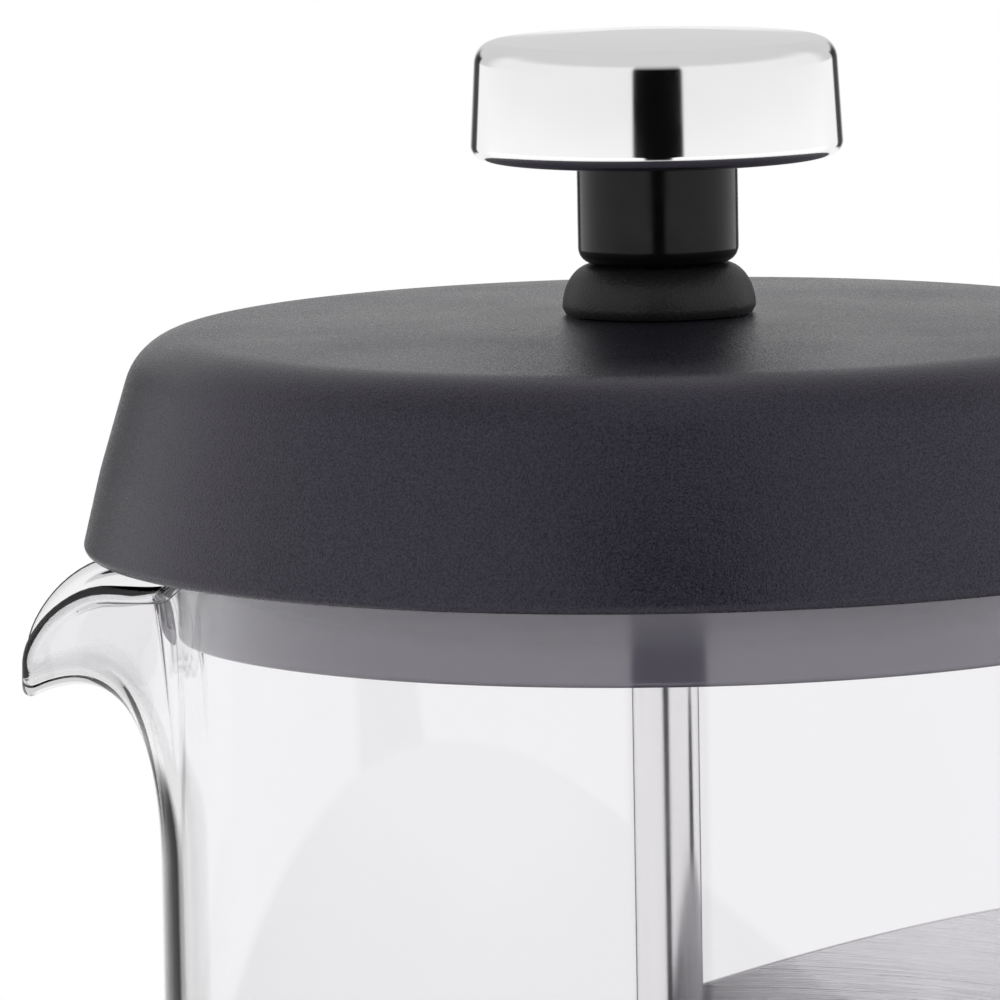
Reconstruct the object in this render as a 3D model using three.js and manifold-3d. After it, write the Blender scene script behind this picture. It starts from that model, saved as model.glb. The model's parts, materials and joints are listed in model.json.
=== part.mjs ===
// French press: a glass beaker with a drawn spout, held in a brushed steel sleeve whose top edge slants up
// to a black handle, under a black conical lid through which the plunger slides. Millimetres, +Z up.
// The origin is the middle of the base on the table. The spout points to -X and the handle to +X.
import * as THREE from "three";
import { mergeVertices } from "three/addons/utils/BufferGeometryUtils.js";
import Module from "manifold-3d";

const wasm = await Module();
wasm.setup();

// ---- Driving dimensions ----
// Facets
const ROUND = 48; // sides of a large ring
const KNOB_ROUND = 36; // sides of the knob
const SMALL_ROUND = 24; // sides of a rod or bush
const SCREW_ROUND = 12; // sides of a screw or a small hole
const ARC = 3; // steps of a fillet

// Gaps
const seatGap = 0.1; // between two pieces that rest on each other
const cutGap = 0.3; // round a piece that sits in a pocket cut for it
const runningGap = 0.15; // round a rod in its bush
const slipGap = 0.4; // between the beaker's bore and what slides in it

// Glass beaker
const beakerRadius = 50;
const glassWall = 1.7;
const beakerHeight = 166.5;
const beakerFloor = 3.2;
const beakerCorner = 9;
const rimFlare = 1.6; // how far the rim leans out
const spoutStart = 32.5; // the spout begins this far below the rim
const spoutReach = 11.7; // how far its lip stands out past the rim
const spoutDrop = 14; // and how far it dips below the rim
const spoutFlank = [5, 17.5].map(THREE.MathUtils.degToRad); // its reach fades between these angles
const lipFlank = [1, 12].map(THREE.MathUtils.degToRad); // and its dip between these
const rimFlank = [14, 30].map(THREE.MathUtils.degToRad); // the rim beside it dips out to here
const rimDipShare = 0.25; // of the whole drop

// Sleeve, base and rings
const padThickness = 2.5;
const padInset = 6.8; // the pad ends this far in from the sleeve
const sleeveWall = 0.8;
const sleeveCorner = 5;
const sleeveGap = 1.0; // between the glass and the sleeve
const sleeveHeight = 117; // to its slanted edge, at the axis
const sleeveSlant = THREE.MathUtils.degToRad(17);
const seatThickness = 2.4;
const seatInset = 10; // the seat ring lies this far in from the beaker's side
const seatWidth = 12;
const ringHeight = 4;
const ringDrop = 8; // the centring ring lies this far below the lowest point of the sleeve's edge

// Handle
const handleTop = 142; // centreline
const handleBottom = 36;
const handleSpan = 45.2; // from the sleeve to the centreline of the grip
const upperFootZ = 116;
const gripWidthTop = 24;
const gripWidthBottom = 18;
const gripThickness = 12;
const footThickness = 22;
const tabLength = 13;
const tabWidth = 10;
const tabThickness = 2.5;
const flangeThickness = 1.2;
const flangeSide = 15;
const screwRadius = 2;
const screwHeadRadius = 3.8;
const screwHeadHeight = 2.4;
const plugThickness = 1.5;

// Lid
const skirtDrop = 1.5; // the skirt's edge lies this far below the glass rim
const skirtOverhang = 7.15; // from the beaker's side to the skirt's edge
const skirtBend = 8; // height at which the skirt's side bends inwards a little
const skirtBendInset = 1.95; // and leans in by this much below it
const lidHeight = 21.2;
const lidTopInset = 5.95; // from the skirt's edge to where the side would meet the top
const lidEdgeRadius = 6.5;
const lidCrown = 1.3; // the top rises this much to its middle
const lidWall = 2.2;
const sealThickness = 1.8;
const flangePlate = 2;
const plugDrop = 8; // the plug ring reaches this far below the skirt
const plugWall = 2;
const slotCount = 5;
const slotWidth = 2.6;
const slotHeight = 4.6;
const slotPitch = THREE.MathUtils.degToRad(6.4);

// Boss, bush and nut in the middle of the lid
const bossRadius = 9.5;
const bossTopRadius = 6.5;
const bossHeight = 4.8;
const shankRadius = 6.6;
const bushWall = 1.6;
const bushFlange = 1;
const nutRadius = 11;
const nutHeight = 3.2;

// Plunger
const rodRadius = 3.3;
const rodThreadRadius = 2.5;
const neckRadius = 7.9;
const neckHeight = 10.4;
const neckChamfer = 1.4;
const knobRadius = 18.4; // at its lower edge
const knobTopRadius = 17.75; // where the side would meet the top
const knobHeight = 12;
const knobEdgeRadius = 2.2;
const knobLipRadius = 1.4; // rounding of the lower edge
const knobCrown = 0.5;
const knobWall = 1.2;
const knobLipWidth = 2.6; // how far the crimped lip reaches in under the core
const coreFlange = 3;
const insertRadius = 5;
const insertLength = 11;

// Filter pack
const hubRadius = 7;
const hubHeight = 5.6;
const collarRadius = 5.5;
const collarHeight = 7.5;
const plateThickness = 0.8;
const plateSpace = 0.4; // between two plates of the pack
const meshThickness = 0.4;
const upperPlateInset = 4.2; // from the beaker's bore
const crossPlateInset = 5.8;
const crossRimWidth = 4;
const crossHubRadius = 11;
const spokeCount = 6;
const spokeWidth = 6;
const coilRadius = 1.5; // of the coil's own tube
const floorGap = 0.5; // between the pack and the beaker's floor

// Travel of the joints, which record.json repeats
const stopGap = 0.6;

// ---- Levels and radii that follow ----
const sleeveFloorZ = padThickness + seatGap;
const seatZ = sleeveFloorZ + sleeveWall + seatGap;
const beakerZ = seatZ + seatThickness + seatGap;
const rimZ = beakerZ + beakerHeight;
const beakerFloorZ = beakerZ + beakerFloor;
const boreRadius = beakerRadius - glassWall;
const sleeveInner = beakerRadius + sleeveGap;
const sleeveOuter = sleeveInner + sleeveWall;
const handleReach = sleeveOuter + handleSpan;
const upperPlateRadius = boreRadius - upperPlateInset;
const crossPlateRadius = boreRadius - crossPlateInset;
const seatOuter = beakerRadius - seatInset;
const skirtZ = rimZ - skirtDrop;
const skirtRadius = beakerRadius + skirtOverhang;
const skirtBendRadius = skirtRadius - skirtBendInset;
const lidTopRadius = skirtRadius - lidTopInset;
const sealZ = rimZ + seatGap;
const flangeZ = sealZ + sealThickness + seatGap;
const plugRadius = boreRadius - slipGap;
const plugZ = skirtZ - plugDrop;
const lidEdgeZ = skirtZ + lidHeight;
const lidCentreZ = lidEdgeZ + lidCrown;
const bossZ = lidCentreZ + seatGap;
const neckZ = bossZ + bossHeight + seatGap;
const knobZ = neckZ + neckHeight;
const bushInner = rodRadius + runningGap;
const bushOuter = bushInner + bushWall;
const nutZ = flangeZ - seatGap - nutHeight;
const hubZ = beakerFloorZ + floorGap;
const crossPlateZ = hubZ + hubHeight + seatGap;
const meshZ = crossPlateZ + plateThickness + plateSpace;
const upperPlateZ = meshZ + meshThickness + plateSpace;
const collarZ = upperPlateZ + plateThickness + seatGap;
const coilCentreRadius = boreRadius - slipGap - coilRadius;

// ---- Finishes ----
const finish = (color, roughness, metalness, more = {}) =>
  new THREE.MeshStandardMaterial({ color, roughness, metalness, ...more });
const FINISH = {
  glass: finish(0xeef4f3, 0.04, 0, { transparent: true, opacity: 0.3 }),
  matteBlack: finish(0x3a383d, 0.62, 0),
  glossBlack: finish(0x121214, 0.18, 0),
  polishedSteel: finish(0xe2e2e4, 0.07, 1),
  brushedSteel: finish(0xb9b9bc, 0.34, 1),
  filterSteel: finish(0xa9aaad, 0.42, 1),
  silicone: finish(0x232325, 0.7, 0),
  brass: finish(0xb89048, 0.35, 1),
};

const part = new THREE.Group();

function add(name, geometry, material) {
  const mesh = new THREE.Mesh(geometry, material);
  mesh.name = name;
  part.add(mesh);
  return mesh;
}

// ---- Outlines and solids ----

// The points of a counterclockwise outline of corners [r, z, fillet], with each fillet an arc that its
// two sides have room for.
function outline(corners, steps = ARC) {
  const points = [];
  corners.forEach(([x, y, fillet = 0], i) => {
    const corner = new THREE.Vector2(x, y);
    if (fillet <= 0) {
      points.push(corner);
      return;
    }
    const before = corners.at(i - 1);
    const after = corners[(i + 1) % corners.length];
    const back = new THREE.Vector2(before[0] - x, before[1] - y);
    const ahead = new THREE.Vector2(after[0] - x, after[1] - y);
    const room = Math.min(back.length(), ahead.length()) * 0.49;
    back.normalize();
    ahead.normalize();
    const half = Math.acos(THREE.MathUtils.clamp(back.dot(ahead), -1, 1)) / 2;
    const reach = Math.min(fillet / Math.tan(half), room);
    const radius = reach * Math.tan(half);
    const centre = back.clone().add(ahead).normalize().multiplyScalar(radius / Math.sin(half)).add(corner);
    const start = back.multiplyScalar(reach).add(corner).sub(centre);
    const turn = start.angleTo(ahead.multiplyScalar(reach).add(corner).sub(centre));
    const side = Math.sign((x - before[0]) * (after[1] - y) - (y - before[1]) * (after[0] - x));
    for (let k = 0; k <= steps; k++) {
      const angle = (side * turn * k) / steps;
      points.push(start.clone().rotateAround(new THREE.Vector2(), angle).add(centre));
    }
  });
  return points;
}

// A solid of revolution about Z from a closed counterclockwise outline.
function revolve(points, sides = ROUND) {
  return new THREE.LatheGeometry([...points, points[0]], sides).rotateX(Math.PI / 2);
}

const turned = (corners, sides = ROUND, steps = ARC) => revolve(outline(corners, steps), sides);

// A flat ring or tube: inner and outer radius, and two levels.
const tube = (inner, outer, low, high, chamfer = 0, sides = ROUND) =>
  turned(
    [
      [inner, low, chamfer],
      [outer, low, chamfer],
      [outer, high, chamfer],
      [inner, high, chamfer],
    ],
    sides,
    1,
  );

// A solid disc or pin about Z, with its outer edges chamfered.
const disc = (radius, low, high, chamfer = 0, sides = SMALL_ROUND) =>
  turned(
    [
      [0, low],
      [radius, low, chamfer],
      [radius, high, chamfer],
      [0, high],
    ],
    sides,
    1,
  );

// A solid through rings of points, with a fan over each end.
function loft(rings) {
  const count = rings[0].length;
  const middle = (ring) =>
    ring.reduce((sum, p) => sum.add(p), new THREE.Vector3()).divideScalar(count);
  const vertices = [...rings.flat(), middle(rings[0]), middle(rings.at(-1))];
  const [first, last] = [vertices.length - 2, vertices.length - 1];
  const index = [];
  for (let j = 0; j < count; j++) {
    const next = (j + 1) % count;
    for (let i = 0; i + 1 < rings.length; i++) {
      const [a, b] = [i * count + j, i * count + next];
      index.push(a, b, b + count, a, b + count, a + count);
    }
    const top = (rings.length - 1) * count;
    index.push(first, next, j, last, top + j, top + next);
  }
  return new THREE.BufferGeometry().setFromPoints(vertices).setIndex(index);
}

function solid(geometry) {
  const bare = geometry.clone();
  bare.deleteAttribute("normal");
  bare.deleteAttribute("uv");
  const merged = mergeVertices(bare, 1e-4);
  return new wasm.Manifold(
    new wasm.Mesh({
      numProp: 3,
      vertProperties: new Float32Array(merged.attributes.position.array),
      triVerts: new Uint32Array(merged.index.array),
    }),
  );
}

function geometryOf(manifold) {
  const mesh = manifold.getMesh();
  const geometry = new THREE.BufferGeometry();
  geometry.setAttribute("position", new THREE.BufferAttribute(mesh.vertProperties, 3));
  geometry.setIndex(new THREE.BufferAttribute(mesh.triVerts, 1));
  return geometry;
}

const cut = (geometry, ...tools) =>
  geometryOf(tools.reduce((left, tool) => left.subtract(solid(tool)), solid(geometry)));
const join = (...geometries) =>
  geometryOf(geometries.map(solid).reduce((sum, each) => sum.add(each)));

// ---- Glass beaker ----

// How strongly the spout is felt at an angle from its middle: 1 inside the flank, 0 outside it.
const felt = (angle, [from, to]) => 1 - THREE.MathUtils.smoothstep(Math.abs(angle), from, to);

const wallMiddle = beakerRadius - glassWall / 2;
const rimEndZ = rimZ - glassWall / 2;
const plainWall = new THREE.CubicBezierCurve(
  new THREE.Vector2(wallMiddle, rimZ - spoutStart),
  new THREE.Vector2(wallMiddle, rimZ - spoutStart / 2),
  new THREE.Vector2(wallMiddle, rimZ - spoutStart / 16),
  new THREE.Vector2(wallMiddle + rimFlare, rimEndZ),
);
const spoutTip = new THREE.Vector2(wallMiddle + rimFlare + spoutReach, rimEndZ - spoutDrop);
const spoutWall = new THREE.CubicBezierCurve(
  plainWall.v0,
  new THREE.Vector2(wallMiddle, spoutTip.y - 1),
  new THREE.Vector2(wallMiddle + spoutReach * 0.45, spoutTip.y + 3.6),
  spoutTip,
);

// The middle of the glass wall above spoutStart, at share t of its length and an angle from the spout.
// The lip reaches out over a narrow arc and its edge dips over a wider one.
function upperWall(t, angle) {
  const plain = plainWall.getPoint(t);
  const spout = spoutWall.getPoint(t);
  const reach = felt(angle, spoutFlank);
  const dip = rimDipShare * felt(angle, rimFlank) + (1 - rimDipShare) * felt(angle, lipFlank);
  return new THREE.Vector2(
    plain.x + reach * (spout.x - plain.x),
    plain.y + dip * (spout.y - plain.y),
  );
}

// The closed section of the beaker at an angle from the spout.
function beakerSection(angle, steps = 8, capSteps = 3) {
  const half = glassWall / 2;
  const outer = [];
  const inner = [];
  let across;
  for (let k = 0; k <= steps; k++) {
    const t = k / steps;
    const here = upperWall(t, angle);
    const along = upperWall(Math.min(t + 1e-3, 1), angle).sub(upperWall(Math.max(t - 1e-3, 0), angle));
    across = new THREE.Vector2(along.y, -along.x).normalize().multiplyScalar(half);
    outer.push(here.clone().add(across));
    inner.unshift(here.clone().sub(across));
  }
  const end = upperWall(1, angle);
  const cap = [];
  for (let k = 1; k < capSteps; k++) {
    cap.push(across.clone().rotateAround(new THREE.Vector2(), (Math.PI * k) / capSteps).add(end));
  }
  const foot = outline([
    [0, beakerZ],
    [beakerRadius, beakerZ, beakerCorner],
    [beakerRadius, rimZ],
  ]).slice(0, -1);
  const bowl = outline([
    [boreRadius, rimZ],
    [boreRadius, beakerFloorZ, beakerCorner - glassWall],
    [0, beakerFloorZ],
  ]).slice(1);
  return [...foot, ...outer, ...cap, ...inner, ...bowl];
}

function glassBeaker() {
  const sides = ROUND;
  const plain = beakerSection(Math.PI);
  const geometry = new THREE.LatheGeometry(plain, sides).rotateX(Math.PI / 2);
  const position = geometry.attributes.position;
  for (let i = 0; i <= sides; i++) {
    // The rings crowd together round the spout and spread out behind it.
    const even = -Math.PI + (2 * Math.PI * (i % sides)) / sides;
    const angle = even - 0.55 * Math.sin(even);
    beakerSection(angle).forEach((p, j) =>
      position.setXYZ(i * plain.length + j, -p.x * Math.cos(angle), -p.x * Math.sin(angle), p.y),
    );
  }
  return geometry;
}

// ---- Sleeve, base and rings ----

// The sleeve is a drawn cup whose wall ends on a slanted plane.
function steelSleeve() {
  const geometry = turned([
    [0, sleeveFloorZ],
    [sleeveOuter, sleeveFloorZ, sleeveCorner],
    [sleeveOuter, sleeveHeight],
    [sleeveInner, sleeveHeight],
    [sleeveInner, sleeveFloorZ + sleeveWall, sleeveCorner - sleeveWall],
    [0, sleeveFloorZ + sleeveWall],
  ]);
  const position = geometry.attributes.position;
  for (let i = 0; i < position.count; i++) {
    if (position.getZ(i) > sleeveHeight - 1e-3)
      position.setZ(i, sleeveHeight + position.getX(i) * Math.tan(sleeveSlant));
  }
  return geometry;
}

const ringZ = sleeveHeight - sleeveOuter * Math.tan(sleeveSlant) - ringDrop - ringHeight;

// ---- Handle ----

// The grip's centreline: out of the upper foot, up to a thumb rest, and down to the lower foot.
const footX = sleeveInner - 2;
const handleLine = new THREE.CatmullRomCurve3(
  outline([
    [footX, upperFootZ],
    [sleeveOuter + 9, upperFootZ, 16],
    [handleReach - 20, handleTop, 14],
    [handleReach, handleTop, 13],
    [handleReach, THREE.MathUtils.lerp(handleBottom, handleTop, 0.55), 80],
    [handleReach - 9, handleBottom, 26],
    [footX, handleBottom],
  ]).map((p) => new THREE.Vector3(p.x, 0, p.y)),
  false,
  "centripetal",
);

function handleRing(t, sides = 16) {
  const centre = handleLine.getPointAt(t);
  const along = handleLine.getTangentAt(t);
  const across = new THREE.Vector3(0, 1, 0).cross(along);
  const atFoot = Math.exp(-((Math.min(t, 1 - t) / 0.07) ** 2));
  const thickness = THREE.MathUtils.lerp(gripThickness, footThickness, atFoot) / 2;
  const rise = THREE.MathUtils.smoothstep(centre.z, handleBottom, handleTop);
  const width = THREE.MathUtils.lerp(gripWidthBottom, gripWidthTop, rise) / 2;
  const squareness = 0.72; // below 1, an ellipse's corners fill out
  const ring = [];
  for (let k = 0; k < sides; k++) {
    const angle = (2 * Math.PI * k) / sides;
    const [c, s] = [Math.cos(angle), Math.sin(angle)];
    const point = centre
      .clone()
      .addScaledVector(across, Math.sign(c) * Math.abs(c) ** squareness * thickness);
    point.y += Math.sign(s) * Math.abs(s) ** squareness * width;
    ring.push(point);
  }
  return ring;
}

// A steel tab on a flange that is welded to the sleeve, with room all round it for a pocket.
function bracket(z, room = 0) {
  const tab = new THREE.BoxGeometry(
    tabLength + 2 * room,
    tabWidth + 2 * room,
    tabThickness + 2 * room,
  ).translate(sleeveOuter + tabLength / 2, 0, z);
  const flange = new THREE.BoxGeometry(
    2 * flangeThickness + 2 * room,
    flangeSide + 2 * room,
    flangeSide + 2 * room,
  ).translate(sleeveOuter, 0, z);
  return join(tab, flange);
}

const sleeveCore = (room) => disc(sleeveOuter + room, 0, rimZ, 0, ROUND);
const screwX = sleeveOuter + tabLength * 0.62;

// A pan-head screw that points up through a tab, and its plug. Each takes room for the hole it sits in.
const screwReach = 7; // of its shank past the tab
const plugDepth = screwHeadHeight + plugThickness + 2 * seatGap;
const screwHeadZ = (z) => z - tabThickness / 2 - cutGap - 2 * seatGap - screwHeadHeight;
const screw = (z, room = 0) =>
  turned(
    [
      [0, screwHeadZ(z) - room],
      [screwHeadRadius + room, screwHeadZ(z) - room, 0.8],
      [screwHeadRadius + room, screwHeadZ(z) + screwHeadHeight],
      [screwRadius + room, screwHeadZ(z) + screwHeadHeight],
      [screwRadius + room, z + screwReach + room],
      [0, z + screwReach + room],
    ],
    SCREW_ROUND,
    2,
  ).translate(screwX, 0, 0);
const screwWell = (z) =>
  disc(screwHeadRadius + cutGap, z - footThickness, screwHeadZ(z) + screwHeadHeight, 0, SCREW_ROUND)
    .translate(screwX, 0, 0);
const screwPlug = (z) =>
  disc(
    screwHeadRadius,
    screwHeadZ(z) - 2 * seatGap - cutGap - plugThickness,
    screwHeadZ(z) - 2 * seatGap - cutGap,
    0.4,
    SCREW_ROUND,
  ).translate(screwX, 0, 0);

function handleGrip() {
  const steps = 40;
  const rings = Array.from({ length: steps + 1 }, (_, i) => handleRing(i / steps));
  const tools = [sleeveCore(cutGap)];
  for (const z of [upperFootZ, handleBottom]) {
    tools.push(bracket(z, cutGap), screw(z, cutGap), screwWell(z));
  }
  return cut(loft(rings), ...tools);
}

const weldedBracket = (z) => {
  const hole = disc(screwRadius + cutGap, z - flangeSide, z + flangeSide, 0, SCREW_ROUND);
  return cut(bracket(z), sleeveCore(cutGap), hole.translate(screwX, 0, 0));
};

// ---- Lid ----

// The shell's side leans in, bends a little, and rounds over to a top that rises to its middle.
function lidCover() {
  const topOf = (r) => lidEdgeZ + lidCrown * (1 - (r / lidTopRadius) ** 2);
  const hole = shankRadius + cutGap;
  const crown = [0.7, 0.4].map((share) => share * lidTopRadius);
  return turned([
    [skirtRadius, skirtZ, 0.9],
    [skirtBendRadius, skirtZ + skirtBend, 30],
    [lidTopRadius, lidEdgeZ, lidEdgeRadius],
    ...crown.map((r) => [r, topOf(r)]),
    [hole, lidCentreZ],
    [hole, lidCentreZ - lidWall],
    ...crown.reverse().map((r) => [r, topOf(r) - lidWall]),
    [lidTopRadius - lidWall, lidEdgeZ - lidWall, lidEdgeRadius - lidWall],
    [skirtBendRadius - lidWall, skirtZ + skirtBend],
    [skirtRadius - lidWall, skirtZ, 0.5],
  ]);
}

// The skirt's inner radius at a level on its lower stretch.
const skirtInner = (z) =>
  THREE.MathUtils.lerp(skirtRadius, skirtBendRadius, (z - skirtZ) / skirtBend) - lidWall;
const flangeRadius = skirtInner(flangeZ + flangePlate) - cutGap;

// A flange plate with a plug ring below it, slotted towards the spout as a strainer.
function lidInsert() {
  const corners = [
    [shankRadius + cutGap, flangeZ],
    [plugRadius - plugWall, flangeZ],
    [plugRadius - plugWall, plugZ],
    [plugRadius, plugZ, 0.6],
    [plugRadius, flangeZ],
    [flangeRadius, flangeZ, 0.4],
    [flangeRadius, flangeZ + flangePlate, 0.4],
    [shankRadius + cutGap, flangeZ + flangePlate],
  ];
  const body = turned(corners, ROUND, 1);
  const slots = [];
  for (let k = 0; k < slotCount; k++) {
    const angle = Math.PI + (k - (slotCount - 1) / 2) * slotPitch;
    slots.push(
      new THREE.BoxGeometry(plugWall * 4, slotWidth, slotHeight)
        .translate(plugRadius - plugWall / 2, 0, (plugZ + skirtZ) / 2)
        .rotateZ(angle),
    );
  }
  return cut(body, ...slots);
}

const lidSeal = () =>
  tube(plugRadius + slipGap, Math.min(beakerRadius + rimFlare, flangeRadius), sealZ, sealZ + sealThickness, 0.5);

// The dome on the lid, with a threaded shank that reaches down through cover and insert to its nut.
function lidBoss() {
  const bore = bushOuter + seatGap;
  const dome = new THREE.EllipseCurve(
    bossTopRadius,
    bossZ + bossHeight * 0.12,
    bossRadius - bossTopRadius,
    bossHeight * 0.88,
    0,
    Math.PI / 2,
  );
  return revolve(
    [
      ...outline([
        [bore, nutZ],
        [shankRadius, nutZ, 0.4],
        [shankRadius, bossZ],
        [bossRadius - 0.3, bossZ],
      ]),
      ...dome.getPoints(6),
      new THREE.Vector2(bore, bossZ + bossHeight),
    ],
    SMALL_ROUND,
  );
}

// The bush lines the shank's bore and turns freely in it; its flange keeps it from sliding up.
const rodBush = () =>
  turned(
    [
      [bushInner, nutZ - bushFlange - seatGap, 0.3],
      [shankRadius - seatGap, nutZ - bushFlange - seatGap, 0.3],
      [shankRadius - seatGap, nutZ - seatGap],
      [bushOuter, nutZ - seatGap],
      [bushOuter, bossZ + bossHeight - seatGap],
      [bushInner, bossZ + bossHeight - seatGap, 0.3],
    ],
    SMALL_ROUND,
    2,
  );

// A round nut with flats for fingers, on the shank under the insert.
function bossNut() {
  const ridge = new THREE.Shape();
  const points = 48;
  for (let k = 0; k < points; k++) {
    const angle = (2 * Math.PI * k) / points;
    const radius = nutRadius - 0.5 + 0.5 * Math.cos(12 * angle);
    ridge[k ? "lineTo" : "moveTo"](radius * Math.cos(angle), radius * Math.sin(angle));
  }
  ridge.holes.push(new THREE.Path().absarc(0, 0, shankRadius + seatGap, 0, 2 * Math.PI, true));
  return new THREE.ExtrudeGeometry(ridge, {
    depth: nutHeight,
    bevelEnabled: false,
    curveSegments: SMALL_ROUND,
  }).translate(0, 0, nutZ);
}

// ---- Plunger ----

// The drawn steel cap of the knob, crimped in under the core's flange.
function knobCap() {
  const top = knobZ + knobHeight;
  const lip = knobRadius - knobLipWidth - knobWall;
  return turned([
    [lip, knobZ],
    [knobRadius, knobZ, knobLipRadius],
    [knobTopRadius, top - knobCrown, knobEdgeRadius],
    [knobTopRadius * 0.5, top - knobCrown * 0.25],
    [0, top],
    [0, top - knobWall],
    [knobTopRadius * 0.5, top - knobCrown * 0.25 - knobWall],
    [knobTopRadius - knobWall, top - knobCrown - knobWall, knobEdgeRadius - knobWall],
    [knobRadius - knobWall, knobZ + knobWall],
    [lip, knobZ + knobWall],
  ], KNOB_ROUND);
}

// The black core: a glossy neck under the cap, and the flange that the cap grips.
function knobCore() {
  const bore = insertRadius + seatGap;
  const flangeLow = knobZ + knobWall + seatGap;
  return turned(
    [
      [rodRadius + seatGap, neckZ],
      [neckRadius, neckZ, neckChamfer],
      [neckRadius, flangeLow],
      [knobTopRadius - knobWall - cutGap, flangeLow],
      [knobTopRadius - knobWall - cutGap, flangeLow + coreFlange, 0.5],
      [bore, flangeLow + coreFlange],
      [bore, flangeLow + coreFlange - insertLength],
      [rodRadius + seatGap, flangeLow + coreFlange - insertLength],
    ],
    KNOB_ROUND,
    2,
  );
}

// The brass insert that the rod screws into.
const knobInsertLow = knobZ + knobWall + seatGap + coreFlange - insertLength + seatGap;
const rodTop = knobInsertLow + insertLength - 1;
const knobInsert = () =>
  tube(rodThreadRadius + runningGap, insertRadius, knobInsertLow, knobInsertLow + insertLength - seatGap, 0.3, SMALL_ROUND);

// The rod steps down to its thread at both ends.
function plungerRod() {
  const shoulderTop = knobInsertLow - seatGap;
  const shoulderLow = collarZ + collarHeight * 0.5;
  return turned(
    [
      [0, hubZ],
      [rodThreadRadius, hubZ, 0.5],
      [rodThreadRadius, shoulderLow],
      [rodRadius, shoulderLow, 0.4],
      [rodRadius, shoulderTop, 0.4],
      [rodThreadRadius, shoulderTop],
      [rodThreadRadius, rodTop, 0.5],
      [0, rodTop],
    ],
    SMALL_ROUND,
    2,
  );
}

// ---- Filter pack ----

function plate(shape, thickness, z) {
  return new THREE.ExtrudeGeometry(shape, {
    depth: thickness,
    bevelEnabled: false,
    curveSegments: SCREW_ROUND / 2,
  }).translate(0, 0, z);
}

// A round plate with a hole for the rod. Its edge has as many sides as the other large rings.
function roundPlate(radius, bore) {
  const points = Array.from({ length: ROUND }, (_, k) =>
    new THREE.Vector2(radius, 0).rotateAround(new THREE.Vector2(), (2 * Math.PI * k) / ROUND),
  );
  const shape = new THREE.Shape(points);
  shape.holes.push(new THREE.Path().absarc(0, 0, bore, 0, 2 * Math.PI, true));
  return shape;
}

function holeRing(shape, count, ringRadius, radius, phase = 0) {
  for (let k = 0; k < count; k++) {
    const angle = phase + (2 * Math.PI * k) / count;
    shape.holes.push(
      new THREE.Path().absarc(
        ringRadius * Math.cos(angle),
        ringRadius * Math.sin(angle),
        radius,
        0,
        2 * Math.PI,
        true,
      ),
    );
  }
}

function upperPlate() {
  const shape = roundPlate(upperPlateRadius, rodThreadRadius + runningGap);
  holeRing(shape, 12, upperPlateRadius * 0.8, 3);
  holeRing(shape, 8, upperPlateRadius * 0.46, 2.6, Math.PI / 8);
  return plate(shape, plateThickness, upperPlateZ);
}

// A rim and spokes: the gaps between the spokes let the coffee through.
function crossPlate() {
  const shape = roundPlate(crossPlateRadius, rodThreadRadius + runningGap);
  const outer = crossPlateRadius - crossRimWidth;
  for (let k = 0; k < spokeCount; k++) {
    const from = (2 * Math.PI * k) / spokeCount;
    const to = from + (2 * Math.PI) / spokeCount;
    const [far, near] = [spokeWidth / 2 / outer, spokeWidth / 2 / crossHubRadius];
    const gap = new THREE.Path();
    gap.absarc(0, 0, outer, from + far, to - far, false);
    gap.absarc(0, 0, crossHubRadius, to - near, from + near, true);
    gap.closePath();
    shape.holes.push(gap);
  }
  return plate(shape, plateThickness, crossPlateZ);
}

// The woven disc turns up at its edge, against the beaker's wall.
const filterMesh = () =>
  turned([
    [rodThreadRadius + runningGap, meshZ],
    [upperPlateRadius, meshZ],
    [boreRadius - slipGap - 2 * coilRadius, meshZ - 0.1],
    [boreRadius - slipGap - 2 * coilRadius, meshZ + meshThickness - 0.1],
    [upperPlateRadius, meshZ + meshThickness],
    [rodThreadRadius + runningGap, meshZ + meshThickness],
  ]);

function filterCoil() {
  const section = new THREE.EllipseCurve(
    coilCentreRadius,
    upperPlateZ + plateThickness / 2,
    coilRadius,
    coilRadius,
  );
  return revolve(section.getPoints(8).slice(0, -1));
}

const hubNut = () => tube(rodThreadRadius + runningGap, hubRadius, hubZ, hubZ + hubHeight, 0.5, SMALL_ROUND);

// The collar above the pack steps in to hold both the rod's thread and its shoulder.
const hubCollar = () =>
  turned(
    [
      [rodThreadRadius + runningGap, collarZ],
      [collarRadius + 2.5, collarZ, 0.4],
      [collarRadius + 2.5, collarZ + 1.4, 0.4],
      [collarRadius, collarZ + 1.6],
      [collarRadius, collarZ + collarHeight, 1],
      [rodRadius + runningGap, collarZ + collarHeight],
      [rodRadius + runningGap, collarZ + collarHeight * 0.5 - seatGap],
      [rodThreadRadius + runningGap, collarZ + collarHeight * 0.5 - seatGap],
    ],
    SMALL_ROUND,
    2,
  );

// ---- Assembly ----
add("base_pad", disc(sleeveOuter - padInset, 0, padThickness, 0.8, ROUND), FINISH.silicone);
add("steel_sleeve", steelSleeve(), FINISH.brushedSteel);
add("beaker_seat", tube(seatOuter - seatWidth, seatOuter, seatZ, seatZ + seatThickness), FINISH.silicone);
add(
  "centring_ring",
  tube(beakerRadius + cutGap, sleeveInner - seatGap, ringZ, ringZ + ringHeight),
  FINISH.silicone,
);
add("glass_beaker", glassBeaker(), FINISH.glass);
add("handle_grip", handleGrip(), FINISH.matteBlack);
for (const [side, z] of [
  ["upper", upperFootZ],
  ["lower", handleBottom],
]) {
  add(`${side}_bracket`, weldedBracket(z), FINISH.brushedSteel);
  add(`${side}_screw`, screw(z), FINISH.polishedSteel);
  add(`${side}_screw_plug`, screwPlug(z), FINISH.matteBlack);
}

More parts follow.
